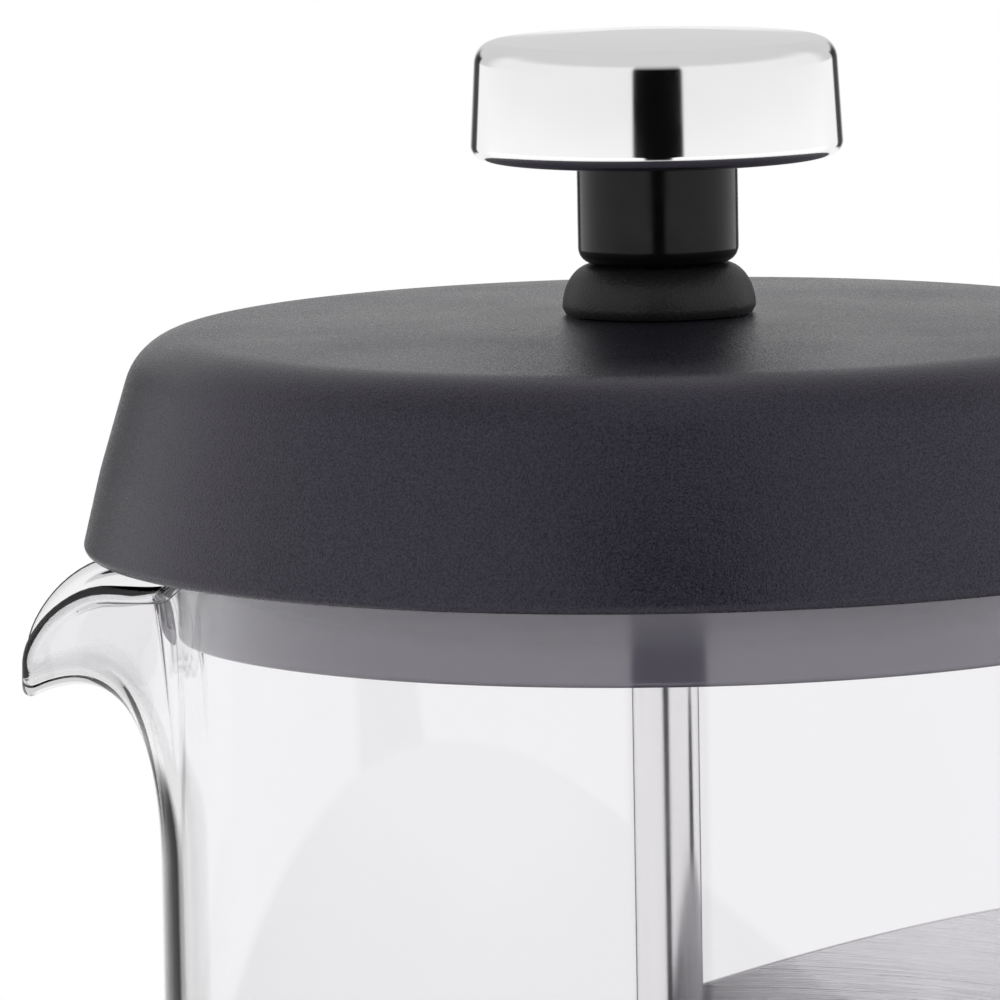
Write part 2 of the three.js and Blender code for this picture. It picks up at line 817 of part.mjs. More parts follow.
add("lid_seal", lidSeal(), FINISH.silicone);
add("lid_cover", lidCover(), FINISH.matteBlack);
add("lid_insert", lidInsert(), FINISH.matteBlack);
add("lid_boss", lidBoss(), FINISH.matteBlack);
add("boss_nut", bossNut(), FINISH.matteBlack);
add("rod_bush", rodBush(), FINISH.silicone);

add("plunger_rod", plungerRod(), FINISH.polishedSteel);
add("knob_cap", knobCap(), FINISH.polishedSteel);
add("knob_core", knobCore(), FINISH.glossBlack);
add("knob_insert", knobInsert(), FINISH.brass);
add("hub_collar", hubCollar(), FINISH.polishedSteel);
add("upper_plate", upperPlate(), FINISH.filterSteel);
add("filter_coil", filterCoil(), FINISH.filterSteel);
add("filter_mesh", filterMesh(), FINISH.filterSteel);
add("cross_plate", crossPlate(), FINISH.filterSteel);
add("hub_nut", hubNut(), FINISH.filterSteel);

// How far the plunger rises before its coil meets the plug ring, and the lid before the filter pack is
// clear of the beaker.
part.userData.plungerTravel = plugZ - stopGap - (upperPlateZ + plateThickness / 2 + coilRadius);
part.userData.lidTravel = rimZ - hubZ + 20;

export default part;
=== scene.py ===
"""The looks of the french press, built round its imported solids. Sizes are in millimetres until a mesh is
made, and Blender's own units are metres."""

import json
import math

import bmesh
import bpy
from mathutils import Matrix, Vector


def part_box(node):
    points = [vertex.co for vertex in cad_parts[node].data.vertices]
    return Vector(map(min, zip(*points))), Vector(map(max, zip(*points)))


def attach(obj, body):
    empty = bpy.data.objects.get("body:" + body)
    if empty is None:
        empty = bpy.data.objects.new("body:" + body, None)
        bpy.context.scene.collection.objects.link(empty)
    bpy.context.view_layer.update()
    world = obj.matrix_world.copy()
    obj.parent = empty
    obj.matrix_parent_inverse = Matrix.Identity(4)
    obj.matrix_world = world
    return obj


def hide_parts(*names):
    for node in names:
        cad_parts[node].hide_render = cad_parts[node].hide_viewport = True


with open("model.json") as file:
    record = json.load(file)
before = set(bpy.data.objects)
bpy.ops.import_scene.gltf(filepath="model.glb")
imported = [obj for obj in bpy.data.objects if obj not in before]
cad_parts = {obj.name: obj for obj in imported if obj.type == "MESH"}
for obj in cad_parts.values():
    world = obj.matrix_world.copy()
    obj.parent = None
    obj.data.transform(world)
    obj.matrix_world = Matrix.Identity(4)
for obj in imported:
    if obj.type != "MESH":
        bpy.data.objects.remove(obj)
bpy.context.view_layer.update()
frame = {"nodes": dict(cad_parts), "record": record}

MM = 0.001
TAU = 2 * math.pi
FINE = 192  # sides of a large ring
MEDIUM = 96  # sides of a small one

# ---- Sizes that the solids share ----
SEAT_GAP = 0.1
CUT_GAP = 0.3
RUNNING_GAP = 0.15
GLASS_WALL = 1.7
BEAKER_RADIUS = 50
BEAKER_FLOOR = 3.2
BEAKER_CORNER = 9
RIM_FLARE = 1.6
SPOUT_START = 32.5
SPOUT_REACH = 11.7
SPOUT_DROP = 14
SPOUT_FLANK = (5, 17.5)
LIP_FLANK = (1, 12)
RIM_FLANK = (14, 30)
RIM_DIP_SHARE = 0.25
SLEEVE_WALL = 0.8
SLEEVE_CORNER = 5
SLEEVE_HEIGHT = 117
SLEEVE_SLANT = math.radians(17)
SHANK_RADIUS = 6.6
ROD_RADIUS = 3.3
ROD_THREAD_RADIUS = 2.5
LID_WALL = 2.2
PLUG_WALL = 2
KNOB_WALL = 1.2
PLATE_THICKNESS = 0.8
COIL_RADIUS = 1.5


def low(node):
    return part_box(node)[0] / MM


def high(node):
    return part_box(node)[1] / MM


# ---- Outlines ----


def outline(corners, arc=math.radians(6)):
    """The points of a counterclockwise outline of corners (x, y, fillet), each fillet an arc."""
    points = []
    for i, (x, y, *fillet) in enumerate(corners):
        here = Vector((x, y))
        if not fillet or fillet[0] <= 0:
            points.append(here)
            continue
        back = Vector(corners[i - 1][:2]) - here
        ahead = Vector(corners[(i + 1) % len(corners)][:2]) - here
        room = min(back.length, ahead.length) * 0.49
        back.normalize()
        ahead.normalize()
        half = math.acos(max(-1, min(1, back.dot(ahead)))) / 2
        reach = min(fillet[0] / math.tan(half), room)
        radius = reach * math.tan(half)
        centre = here + (back + ahead).normalized() * (radius / math.sin(half))
        start = here + back * reach - centre
        turn = (math.pi - 2 * half) * (1 if back.cross(ahead) < 0 else -1)
        steps = max(2, math.ceil(abs(turn) / arc))
        for k in range(steps + 1):
            spoke = Matrix.Rotation(turn * k / steps, 2) @ start
            points.append(centre + spoke)
    return points


def rectangle(inner, outer, bottom, top, fillet=0.0):
    return outline(
        [(inner, bottom, fillet), (outer, bottom, fillet), (outer, top, fillet), (inner, top, fillet)]
    )


def plug(radius, bottom, top, fillet):
    """The outline of a solid disc or pin."""
    return outline([(0, bottom), (radius, bottom, fillet), (radius, top, fillet), (0, top)])


def bezier(a, b, c, d, t):
    s = 1 - t
    return a * s**3 + b * (3 * s * s * t) + c * (3 * s * t * t) + d * t**3


# ---- Meshes ----


def new_object(name, mesh, sharp=40):
    data = bpy.data.meshes.new(name)
    mesh.to_mesh(data)
    mesh.free()
    data.polygons.foreach_set("use_smooth", [True] * len(data.polygons))
    data.set_sharp_from_angle(angle=math.radians(sharp))
    obj = bpy.data.objects.new(name, data)
    bpy.context.scene.collection.objects.link(obj)
    return obj


def sweep_round(name, sides, section, angle_of=None):
    """A solid round Z. section(angle) gives its closed outline there, always with as many points."""
    mesh = bmesh.new()
    columns = []
    poles = {}
    for k in range(sides):
        angle = TAU * k / sides
        angle = angle_of(angle) if angle_of else angle
        column = []
        for j, (radius, height) in enumerate(section(angle)):
            if radius < 1e-6:
                if j not in poles:
                    poles[j] = mesh.verts.new((0, 0, height * MM))
                column.append(poles[j])
            else:
                place = (radius * math.cos(angle), radius * math.sin(angle), height)
                column.append(mesh.verts.new(Vector(place) * MM))
        columns.append(column)
    for k, column in enumerate(columns):
        following = columns[(k + 1) % sides]
        for j in range(len(column)):
            after = (j + 1) % len(column)
            corners = [column[j], following[j], following[after], column[after]]
            corners = list(dict.fromkeys(corners))
            if len(corners) > 2:
                mesh.faces.new(corners)
    return new_object(name, mesh)


def revolve(name, points, sides=FINE):
    return sweep_round(name, sides, lambda angle: points)


def applied(obj):
    """Replaces obj's mesh by what its modifiers make of it."""
    evaluated = obj.evaluated_get(bpy.context.evaluated_depsgraph_get())
    data = bpy.data.meshes.new_from_object(evaluated)
    obj.modifiers.clear()
    obj.data = data
    return obj


def cut(obj, *tools, sharp=40):
    """Takes the tools' volumes away from obj, and deletes the tools."""
    for tool in tools:
        boolean = obj.modifiers.new("cut", "BOOLEAN")
        boolean.operation = "DIFFERENCE"
        boolean.solver = "EXACT"
        boolean.object = tool
    applied(obj)
    for tool in tools:
        bpy.data.objects.remove(tool)
    obj.data.polygons.foreach_set("use_smooth", [True] * len(obj.data.polygons))
    obj.data.set_sharp_from_angle(angle=math.radians(sharp))
    return obj


def block(name, size, centre, turn=0.0):
    """A box in millimetres, turned about Z after it is put in place."""
    mesh = bmesh.new()
    bmesh.ops.create_cube(mesh, size=1)
    bmesh.ops.scale(mesh, vec=Vector(size) * MM, verts=mesh.verts)
    bmesh.ops.translate(mesh, vec=Vector(centre) * MM, verts=mesh.verts)
    bmesh.ops.rotate(mesh, matrix=Matrix.Rotation(turn, 3, "Z"), verts=mesh.verts)
    return new_object(name, mesh)


def punched_plate(name, loops, bottom, thickness, bevel=0.12):
    """A flat plate between closed loops of points: the first is its edge and the others are holes."""
    curve = bpy.data.curves.new(name, "CURVE")
    curve.dimensions = "2D"
    curve.fill_mode = "BOTH"
    curve.extrude = (thickness / 2 - bevel) * MM
    curve.bevel_depth = bevel * MM
    curve.bevel_resolution = 2
    curve.offset = -bevel * MM
    for loop in loops:
        spline = curve.splines.new("POLY")
        spline.points.add(len(loop) - 1)
        for point, (x, y) in zip(spline.points, loop):
            point.co = (x * MM, y * MM, 0, 1)
        spline.use_cyclic_u = True
    obj = bpy.data.objects.new(name, curve)
    bpy.context.scene.collection.objects.link(obj)
    data = bpy.data.meshes.new_from_object(obj.evaluated_get(bpy.context.evaluated_depsgraph_get()))
    data.transform(Matrix.Translation((0, 0, (bottom + thickness / 2) * MM)))
    bpy.data.objects.remove(obj)
    mesh = bmesh.new()
    mesh.from_mesh(data)
    bmesh.ops.remove_doubles(mesh, verts=mesh.verts, dist=1e-7)
    bmesh.ops.recalc_face_normals(mesh, faces=mesh.faces)
    return new_object(name, mesh)


def circle(radius, x=0.0, y=0.0, sides=FINE):
    return [
        (x + radius * math.cos(TAU * k / sides), y + radius * math.sin(TAU * k / sides)) for k in range(sides)
    ]


# ---- Materials ----


class Finish:
    """A Principled material, with short ways to add nodes to it."""

    def __init__(self, name, **values):
        self.material = bpy.data.materials.new(name)
        self.material.use_nodes = True
        self.nodes = self.material.node_tree.nodes
        self.links = self.material.node_tree.links
        self.shader = self.nodes["Principled BSDF"]
        for key, value in values.items():
            self.shader.inputs[key.replace("_", " ").title().replace("Ior", "IOR")].default_value = value
        self.place = self.add("ShaderNodeTexCoord").outputs["Object"]

    def add(self, kind, links=None, values=None, **settings):
        node = self.nodes.new(kind)
        for key, value in settings.items():
            setattr(node, key, value)
        for key, value in (values or {}).items():
            node.inputs[key].default_value = value
        for key, socket in (links or {}).items():
            self.links.new(socket, node.inputs[key])
        return node

    def noise(self, size, detail=3.0, where=None, roughness=0.5):
        """Noise whose features are about size millimetres across."""
        values = {"Scale": 1 / (size * MM), "Detail": detail, "Roughness": roughness}
        node = self.add("ShaderNodeTexNoise", {"Vector": where or self.place}, values)
        return node.outputs["Fac"]

    def spread(self, value, darkest, brightest, start=0.3, end=0.7):
        values = {"From Min": start, "From Max": end, "To Min": darkest, "To Max": brightest}
        return self.add("ShaderNodeMapRange", {"Value": value}, values).outputs["Result"]

    def mix(self, fac, first, second):
        node = self.add("ShaderNodeMix", {"Factor": fac}, data_type="RGBA")
        node.inputs["A"].default_value = (*first, 1)
        node.inputs["B"].default_value = (*second, 1)
        return node.outputs["Result"]

    def maths(self, operation, first, second=None):
        node = self.add("ShaderNodeMath", operation=operation)
        for socket, value in zip(node.inputs, (first, second)):
            if isinstance(value, bpy.types.NodeSocket):
                self.links.new(value, socket)
            elif value is not None:
                socket.default_value = value
        return node.outputs["Value"]

    def bump(self, height, depth, strength=1.0, under=None):
        """Bump of depth millimetres, on top of another bump's normal."""
        links = {"Height": height}
        if under:
            links["Normal"] = under
        values = {"Distance": depth * MM, "Strength": strength}
        return self.add("ShaderNodeBump", links, values).outputs["Normal"]

    def drive(self, socket, value):
        self.links.new(value, self.shader.inputs[socket])


def grained_plastic(name, dark, light, grain, rough, specular=0.5, speckle=0.15, tint=(1, 1, 1)):
    """Moulded plastic with a spark-eroded grain: small pits, and patches handled a little smoother."""
    finish = Finish(name, specular_tint=(*tint, 1))
    fine = finish.noise(grain, detail=2)
    glints = finish.spread(fine, (1 - speckle) * specular, (1 + speckle) * specular, 0.35, 0.65)
    finish.drive("Specular IOR Level", glints)
    patches = finish.noise(14, detail=4)
    finish.drive("Base Color", finish.mix(finish.spread(patches, 0, 1), dark, light))
    handled = finish.spread(patches, -0.03, 0.03)
    finish.drive("Roughness", finish.maths("ADD", finish.spread(fine, *rough, 0.35, 0.65), handled))
    coarse = finish.bump(finish.noise(grain * 6, detail=2), 0.03, 0.35)
    finish.drive("Normal", finish.bump(fine, 0.06, 1.0, under=coarse))
    return finish.material


def smooth_plastic(name, dark, light):
    finish = Finish(name, specular_ior_level=0.85)
    patches = finish.noise(10, detail=4)
    finish.drive("Base Color", finish.mix(finish.spread(patches, 0, 1), dark, light))
    finish.drive("Roughness", finish.spread(patches, 0.1, 0.16))
    finish.drive("Normal", finish.bump(finish.noise(2.5, detail=2), 0.01, 0.15))
    return finish.material


def gloss_plastic():
    finish = Finish("gloss_black_plastic", base_color=(0.004, 0.004, 0.005, 1), specular_ior_level=0.22)
    haze = finish.noise(3, detail=5)
    finish.drive("Roughness", finish.spread(haze, 0.1, 0.22))
    finish.drive("Normal", finish.bump(finish.noise(5, detail=2), 0.02, 0.3))
    return finish.material


def polished_steel(name, rough):
    finish = Finish(name, metallic=1.0)
    smears = finish.noise(9, detail=6)
    finish.drive("Base Color", finish.mix(smears, (0.86, 0.855, 0.86), (0.93, 0.925, 0.93)))
    finish.drive("Roughness", finish.spread(smears, *rough))
    finish.drive("Normal", finish.bump(finish.noise(6, detail=1), 0.006, 0.25))
    return finish.material


def brushed_steel(name, base, along=18.0, across=0.09, rough=(0.2, 0.36)):
    """Steel with hairlines round the axis, along millimetres long and across millimetres apart."""
    finish = Finish(name, metallic=1.0, anisotropic=0.75)
    axes = finish.add("ShaderNodeSeparateXYZ", {"Vector": finish.place}).outputs
    angle = finish.maths("ARCTAN2", axes["Y"], axes["X"])
    radius = finish.add("ShaderNodeVectorMath", {0: finish.place}, operation="LENGTH").outputs["Value"]
    turns = finish.maths("MULTIPLY", angle, BEAKER_RADIUS / along)
    rows = finish.maths("MULTIPLY", axes["Z"], 1 / (across * MM))
    depth = finish.maths("MULTIPLY", radius, 40.0)
    where = finish.add("ShaderNodeCombineXYZ", {"X": turns, "Y": depth, "Z": rows}).outputs["Vector"]
    lines = finish.add("ShaderNodeTexNoise", {"Vector": where}, {"Scale": 1.0, "Detail": 4.0}).outputs["Fac"]
    patches = finish.noise(22, detail=3)
    finish.drive("Base Color", finish.mix(finish.spread(lines, 0, 1), [0.86 * c for c in base], base))
    streaks = finish.spread(lines, rough[0], rough[1])
    finish.drive("Roughness", finish.maths("ADD", streaks, finish.spread(patches, -0.03, 0.03)))
    finish.drive("Normal", finish.bump(lines, 0.018, 0.7))
    tangent = finish.add("ShaderNodeTangent", direction_type="RADIAL", axis="Z").outputs["Tangent"]
    finish.drive("Tangent", tangent)
    return finish.material


def plain_steel():
    finish = Finish("filter_steel", metallic=1.0)
    patches = finish.noise(5, detail=6)
    finish.drive("Base Color", finish.mix(patches, (0.5, 0.5, 0.51), (0.68, 0.68, 0.69)))
    finish.drive("Roughness", finish.spread(patches, 0.26, 0.42))
    finish.drive("Normal", finish.bump(finish.noise(0.4, detail=3), 0.01, 0.4))
    return finish.material


def woven_steel(pitch=0.42):
    """Fine wire cloth: two sets of wires that pass over and under each other. Its colour carries painted
    shade: nearly black between the wires and light on their tops.
    """
    finish = Finish("filter_mesh_steel", metallic=1.0, roughness=0.34)
    axes = finish.add("ShaderNodeSeparateXYZ", {"Vector": finish.place}).outputs
    step = math.pi / (pitch * MM)
    first = finish.maths("SINE", finish.maths("MULTIPLY", axes["X"], step))
    second = finish.maths("SINE", finish.maths("MULTIPLY", axes["Y"], step))
    wires = finish.maths("MULTIPLY", first, second)
    height = finish.spread(finish.maths("ABSOLUTE", wires), 0, 1, 0, 0.5)
    # Painted shade between the wires: the colour goes from nearly black in the gaps to light on the wire
    # tops.
    finish.drive("Base Color", finish.mix(height, (0.05, 0.05, 0.05), (0.6, 0.6, 0.61)))
    finish.drive("Normal", finish.bump(wires, 0.12, 0.9))
    return finish.material


def silicone():
    finish = Finish("silicone", specular_ior_level=0.4)
    dust = finish.noise(4, detail=6)
    dusty = finish.spread(dust, 0, 1)
    finish.drive("Base Color", finish.mix(dusty, (0.014, 0.014, 0.015), (0.03, 0.03, 0.031)))
    finish.drive("Roughness", finish.spread(dust, 0.5, 0.72))
    finish.drive("Normal", finish.bump(finish.noise(0.5, detail=2), 0.02, 0.5))
    return finish.material


def clear_glass():
    finish = Finish(
        "clear_glass", transmission_weight=1.0, ior=1.47, roughness=0.0, base_color=(0.925, 0.918, 0.93, 1)
    )
    finish.drive("Normal", finish.bump(finish.noise(45, detail=1), 0.25, 0.35))
    return finish.material


def machined_brass():
    finish = Finish("machined_brass", metallic=1.0)
    patches = finish.noise(2, detail=4)
    finish.drive("Base Color", finish.mix(patches, (0.5, 0.32, 0.1), (0.66, 0.44, 0.16)))
    finish.drive("Roughness", finish.spread(patches, 0.25, 0.45))
    return finish.material


MATERIAL = {
    "lid": grained_plastic(
        "lid_plastic",
        dark=(0.007, 0.0058, 0.0105),
        light=(0.01, 0.0085, 0.0145),
        grain=0.2,
        rough=(0.22, 0.4),
        specular=0.56,
        speckle=0.32,
        tint=(0.87, 0.82, 1),
    ),
    "plug": smooth_plastic("lid_plug_plastic", (0.2, 0.186, 0.236), (0.22, 0.204, 0.258)),
    "handle": grained_plastic(
        "handle_plastic",
        dark=(0.016, 0.016, 0.017),
        light=(0.023, 0.022, 0.024),
        grain=0.3,
        rough=(0.42, 0.55),
    ),
    "boss": grained_plastic(
        "boss_plastic",
        dark=(0.007, 0.007, 0.007),
        light=(0.01, 0.01, 0.01),
        grain=0.25,
        rough=(0.4, 0.5),
        specular=0.38,
    ),
    "gloss": gloss_plastic(),
    "polished": polished_steel("polished_steel", (0.06, 0.1)),
    "rod": polished_steel("rod_steel", (0.17, 0.22)),
    "brushed": brushed_steel("brushed_steel", (0.96, 0.955, 0.965), rough=(0.15, 0.3)),
    "turned": brushed_steel("turned_steel", (0.66, 0.66, 0.67), along=8.0, across=0.15),
    "filter": plain_steel(),
    "mesh": woven_steel(),
    "silicone": silicone(),
    "glass": clear_glass(),
    "brass": machined_brass(),
}

BODY_OF = {node: body for body, nodes in frame["record"]["behaviour"]["bodies"].items() for node in nodes}


def stands_for(obj, node, material):
    """Puts obj in the place of a CAD node, on its body and in its finish."""
    obj.data.materials.clear()
    obj.data.materials.append(MATERIAL[material])
    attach(obj, BODY_OF[node])
    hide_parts(node)
    return obj


# ---- Glass beaker ----

beaker_bottom = low("glass_beaker").z
rim = high("glass_beaker").z
bore = BEAKER_RADIUS - GLASS_WALL
wall_middle = BEAKER_RADIUS - GLASS_WALL / 2
rim_end = rim - GLASS_WALL / 2
beaker_floor = beaker_bottom + BEAKER_FLOOR
PLAIN_WALL = (
    Vector((wall_middle, rim - SPOUT_START)),
    Vector((wall_middle, rim - SPOUT_START / 2)),
    Vector((wall_middle, rim - SPOUT_START / 16)),
    Vector((wall_middle + RIM_FLARE, rim_end)),
)
# The spout's wall is a curve like the plain one's, but it ends at the tip.
SPOUT_TIP = Vector((wall_middle + RIM_FLARE + SPOUT_REACH, rim_end - SPOUT_DROP))
SPOUT_WALL = (
    PLAIN_WALL[0],
    Vector((wall_middle, SPOUT_TIP.y - 1)),
    Vector((wall_middle + SPOUT_REACH * 0.45, SPOUT_TIP.y + 3.6)),
    SPOUT_TIP,
)


def felt(angle, flank):
    """How strongly the spout is felt at an angle from its middle: 1 inside the flank, 0 outside it."""
    t = (abs(math.degrees(angle)) - flank[0]) / (flank[1] - flank[0])
    t = max(0, min(1, t))
    return 1 - t * t * (3 - 2 * t)


def upper_wall(t, angle):
    """The middle of the glass wall above SPOUT_START, at an angle from the spout."""
    plain = bezier(*PLAIN_WALL, t)
    spout = bezier(*SPOUT_WALL, t)
    reach = felt(angle, SPOUT_FLANK)
    dip = RIM_DIP_SHARE * felt(angle, RIM_FLANK) + (1 - RIM_DIP_SHARE) * felt(angle, LIP_FLANK)
    return Vector((plain.x + reach * (spout.x - plain.x), plain.y + dip * (spout.y - plain.y)))


FOOT = outline([(0, beaker_bottom), (BEAKER_RADIUS, beaker_bottom, BEAKER_CORNER), (BEAKER_RADIUS, rim)])[:-1]
BOWL = outline([(bore, rim), (bore, beaker_floor, BEAKER_CORNER - GLASS_WALL), (0, beaker_floor)])[1:]


def beaker_section(angle_round, steps=40, cap_steps=10):
    angle = math.remainder(angle_round - math.pi, TAU)
    half = GLASS_WALL / 2
    outer = []
    inner = []
    for k in range(steps + 1):
        t = k / steps
        here = upper_wall(t, angle)
        along = upper_wall(min(t + 1e-3, 1), angle) - upper_wall(max(t - 1e-3, 0), angle)
        across = Vector((along.y, -along.x)).normalized() * half
        outer.append(here + across)
        inner.insert(0, here - across)
    end = upper_wall(1, angle)
    cap = [end + Matrix.Rotation(math.pi * k / cap_steps, 2) @ across for k in range(1, cap_steps)]
    return [*FOOT, *outer, *cap, *inner, *BOWL]


def crowded_at_spout(angle):
    """Brings the sides of the sweep closer together round the spout."""
    from_spout = math.remainder(angle - math.pi, TAU)
    return from_spout - 0.6 * math.sin(from_spout) + math.pi


beaker = sweep_round("beaker_glass", 288, beaker_section, crowded_at_spout)
stands_for(beaker, "glass_beaker", "glass")

# ---- Sleeve, base and rings ----

sleeve_outer = high("steel_sleeve").y
sleeve_inner = sleeve_outer - SLEEVE_WALL
sleeve_bottom = low("steel_sleeve").z
SLEEVE_PROFILE = outline(
    [
        (0, sleeve_bottom),
        (sleeve_outer, sleeve_bottom, SLEEVE_CORNER),
        (sleeve_outer, SLEEVE_HEIGHT, 0.25),
        (sleeve_inner, SLEEVE_HEIGHT, 0.25),
        (sleeve_inner, sleeve_bottom + SLEEVE_WALL, SLEEVE_CORNER - SLEEVE_WALL),
        (0, sleeve_bottom + SLEEVE_WALL),
    ]
)


def sleeve_section(angle):
    rise = sleeve_outer * math.cos(angle) * math.tan(SLEEVE_SLANT)
    return [(r, z + rise if z > SLEEVE_HEIGHT / 2 else z) for r, z in SLEEVE_PROFILE]


sleeve = sweep_round("sleeve_steel", 256, sleeve_section)
stands_for(sleeve, "steel_sleeve", "brushed")

# The pad's underside has two shallow rings that let it grip.
GROOVE_WIDTH = 2
GROOVE_DEPTH = 0.4
SEAT_INNER = 28
pad_radius = high("base_pad").x
pad_top = high("base_pad").z
pad_corners = [(0, 0)]
for groove in (14, 30):
    far_side = groove + GROOVE_WIDTH
    pad_corners += [
        (groove, 0),
        (groove + GROOVE_DEPTH, GROOVE_DEPTH),
        (far_side - GROOVE_DEPTH, GROOVE_DEPTH),
        (far_side, 0),
    ]
pad_corners += [(pad_radius, 0, 0.8), (pad_radius, pad_top, 0.8), (0, pad_top)]
pad = revolve("base_pad_silicone", outline(pad_corners))
stands_for(pad, "base_pad", "silicone")

for node, inner, fillet in (
    ("beaker_seat", SEAT_INNER, 0.5),
    ("centring_ring", BEAKER_RADIUS + CUT_GAP, 0.2),
):
    points = rectangle(inner, high(node).y, low(node).z, high(node).z, fillet)
    stands_for(revolve(node + "_silicone", points), node, "silicone")

# ---- Handle ----

HANDLE_BOTTOM = 36
HANDLE_TOP = 142
HANDLE_REACH = 97
UPPER_FOOT = 116
GRIP_WIDTH_TOP = 24
GRIP_WIDTH_BOTTOM = 18
GRIP_THICKNESS = 12
FOOT_THICKNESS = 22
SCREW_HEAD_RADIUS = 3.8
foot_x = sleeve_inner - 2
grip_bow = HANDLE_BOTTOM + 0.55 * (HANDLE_TOP - HANDLE_BOTTOM)
HANDLE_PATH = outline(
    [
        (foot_x, UPPER_FOOT),
        (sleeve_outer + 9, UPPER_FOOT, 16),
        (HANDLE_REACH - 20, HANDLE_TOP, 14),
        (HANDLE_REACH, HANDLE_TOP, 13),
        (HANDLE_REACH, grip_bow, 80),
        (HANDLE_REACH - 9, HANDLE_BOTTOM, 26),
        (foot_x, HANDLE_BOTTOM),
    ],
    arc=math.radians(3),
)


def evenly(points, count):
    """count + 1 points at equal steps along a line of points, each with its direction."""
    reached = [0.0]
    for a, b in zip(points, points[1:]):
        reached.append(reached[-1] + (b - a).length)
    out = []
    i = 0
    for k in range(count + 1):
        target = reached[-1] * k / count
        while i + 2 < len(points) and reached[i + 1] < target:
            i += 1
        share = (target - reached[i]) / (reached[i + 1] - reached[i])
        out.append(points[i].lerp(points[i + 1], share))
    softened = out[:1] + [(a + b * 2 + c) / 4 for a, b, c in zip(out, out[1:], out[2:])] + out[-1:]
    ahead = softened[1:] + softened[-1:]
    behind = softened[:1] + softened[:-1]
    return [(p, (b - a).normalized()) for p, a, b in zip(softened, behind, ahead)]


def handle_grip(steps=160, sides=64):
    mesh = bmesh.new()
    rings = []
    squareness = 0.72
    for k, (centre, along) in enumerate(evenly(HANDLE_PATH, steps)):
        t = k / steps
        at_foot = math.exp(-((min(t, 1 - t) / 0.07) ** 2))
        thickness = (GRIP_THICKNESS + (FOOT_THICKNESS - GRIP_THICKNESS) * at_foot) / 2
        rise = max(0, min(1, (centre.y - HANDLE_BOTTOM) / (HANDLE_TOP - HANDLE_BOTTOM)))
        rise = rise * rise * (3 - 2 * rise)
        width = (GRIP_WIDTH_BOTTOM + (GRIP_WIDTH_TOP - GRIP_WIDTH_BOTTOM) * rise) / 2
        across = Vector((along.y, 0, -along.x))
        ring = []
        for j in range(sides):
            c, s = math.cos(TAU * j / sides), math.sin(TAU * j / sides)
            place = Vector((centre.x, 0, centre.y))
            place += across * (math.copysign(abs(c) ** squareness, c) * thickness)
            place.y += math.copysign(abs(s) ** squareness, s) * width
            ring.append(mesh.verts.new(place * MM))
        rings.append(ring)
    for first, second in zip(rings, rings[1:]):
        for j in range(sides):
            after = (j + 1) % sides
            mesh.faces.new([first[j], first[after], second[after], second[j]])
    mesh.faces.new(rings[0][::-1])
    mesh.faces.new(rings[-1])
    bmesh.ops.recalc_face_normals(mesh, faces=mesh.faces)
    return new_object("handle_shell", mesh)


def moved(obj, x):
    obj.data.transform(Matrix.Translation((x * MM, 0, 0)))
    return obj


screw_x = (low("upper_screw").x + high("upper_screw").x) / 2
grip = handle_grip()
tools = [revolve("sleeve_space", plug(sleeve_outer + CUT_GAP, 0, rim, 0), 256)]
for side in ("upper", "lower"):
    head = high(side + "_screw_plug").z
    well = revolve("screw_well", plug(SCREW_HEAD_RADIUS + CUT_GAP, head - 40, head + 3, 0), 48)
    tools.append(moved(well, screw_x))
stands_for(cut(grip, *tools), "handle_grip", "handle")

for side in ("upper", "lower"):
    node = side + "_screw_plug"
    points = plug(SCREW_HEAD_RADIUS, low(node).z, high(node).z, 0.5)
    stands_for(moved(revolve(node + "_cap", points, 48), screw_x), node, "boss")

# ---- Lid ----

skirt = low("lid_cover").z
SKIRT_RADIUS = 57.15
SKIRT_BEND = 8
SKIRT_BEND_RADIUS = 55.2
LID_TOP_RADIUS = 51.2
LID_EDGE_RADIUS = 6.5
LID_CROWN = 1.3
lid_centre = high("lid_cover").z
lid_edge = lid_centre - LID_CROWN


def crown(radius):
    return lid_edge + LID_CROWN * (1 - (radius / LID_TOP_RADIUS) ** 2)


crown_radii = [LID_TOP_RADIUS * share for share in (0.8, 0.7, 0.6, 0.5, 0.4, 0.3, 0.2)]
lid_hole = SHANK_RADIUS + CUT_GAP
cover = revolve(
    "lid_shell",
    outline(
        [
            (SKIRT_RADIUS, skirt, 0.9),
            (SKIRT_BEND_RADIUS, skirt + SKIRT_BEND, 30),
            (LID_TOP_RADIUS, lid_edge, LID_EDGE_RADIUS),
            *[(r, crown(r)) for r in crown_radii],
            (lid_hole, lid_centre),
            (lid_hole, lid_centre - LID_WALL),
            *[(r, crown(r) - LID_WALL) for r in reversed(crown_radii)],
            (LID_TOP_RADIUS - LID_WALL, lid_edge - LID_WALL, LID_EDGE_RADIUS - LID_WALL),
            (SKIRT_BEND_RADIUS - LID_WALL, skirt + SKIRT_BEND),
            (SKIRT_RADIUS - LID_WALL, skirt, 0.5),
        ]
    ),
    256,
)
stands_for(cover, "lid_cover", "lid")

plug_bottom = low("lid_insert").z
flange_top = high("lid_insert").z
flange_bottom = flange_top - 2
flange_radius = high("lid_insert").y
plug_radius = bore - 0.4
insert = revolve(
    "lid_plug",
    outline(
        [
            (lid_hole, flange_bottom),
            (plug_radius - PLUG_WALL, flange_bottom, 0.8),
            (plug_radius - PLUG_WALL, plug_bottom, 0.5),
            (plug_radius, plug_bottom, 0.6),
            (plug_radius, flange_bottom, 0.4),
            (flange_radius, flange_bottom, 0.4),
            (flange_radius, flange_top, 0.4),
            (lid_hole, flange_top),
        ]
    ),
    256,
)
